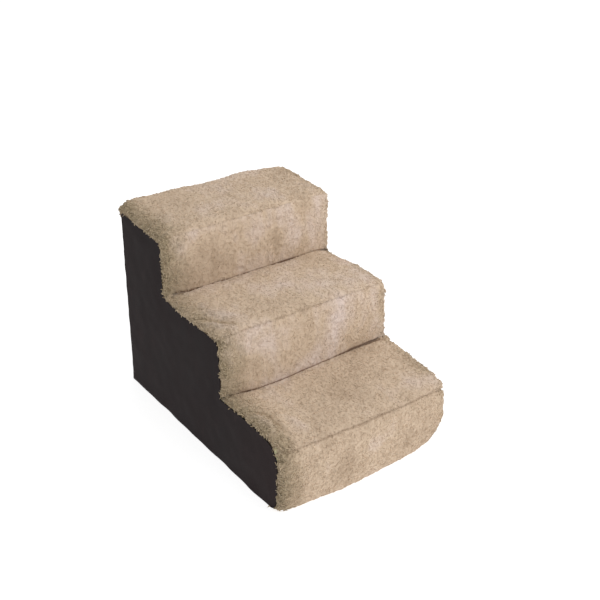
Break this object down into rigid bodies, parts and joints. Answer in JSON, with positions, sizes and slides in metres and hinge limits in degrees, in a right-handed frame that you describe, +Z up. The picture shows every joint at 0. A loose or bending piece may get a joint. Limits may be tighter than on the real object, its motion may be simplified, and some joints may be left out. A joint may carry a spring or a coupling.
{
  "type": "pet stairs",
  "caption": "Soft pet stairs: a foam core in a zipped cover with padded plush treads and risers, suede sides and a gripping base.",
  "frame": {"origin": "middle of the footprint, on the floor under the grip dots", "axes": "+Z up; +Y towards the tall back of the stairs, so a pet climbs along +Y; +X to the right seen from the front"},
  "size_m": [0.38, 0.5644, 0.404],
  "materials": {
    "plush": "matte",
    "suede": "matte",
    "base_cloth": "matte",
    "foam": "matte",
    "grip_rubber": "satin",
    "zip_tape": "matte",
    "zip_teeth": "satin",
    "zip_metal": "satin"
  },
  "bodies": {
    "stairs": {"lower_riser_panel": "plush", "lower_tread_panel": "plush", "middle_riser_panel": "plush", "middle_tread_panel": "plush", "upper_riser_panel": "plush", "upper_tread_panel": "plush", "foam_lower_slab": "foam", "foam_middle_slab": "foam", "foam_upper_slab": "foam", "left_side_panel": "suede", "right_side_panel": "suede", "back_panel": "suede", "back_hem_panel": "suede", "base_panel": "base_cloth", "grip_dots": "grip_rubber", "zipper_upper_tape": "zip_tape", "zipper_lower_tape": "zip_tape", "zipper_upper_teeth": "zip_teeth", "zipper_lower_teeth": "zip_teeth", "zipper_top_stops": "zip_metal", "zipper_bottom_stop": "zip_metal"},
    "slider": {"zipper_slider": "zip_metal"},
    "pull": {"zipper_pull": "zip_metal"}
  },
  "joints": [
    {"name": "zipper_slide", "type": "slide", "parent": "stairs", "child": "slider", "axis": [-1, 0, 0], "range_m": [0, 0.298]},
    {"name": "pull_hinge", "type": "hinge", "parent": "slider", "child": "pull", "pos_m": [0.1492, 0.2789, 0.048], "axis": [0, 0, -1], "range_deg": [0, 180]}
  ]
}
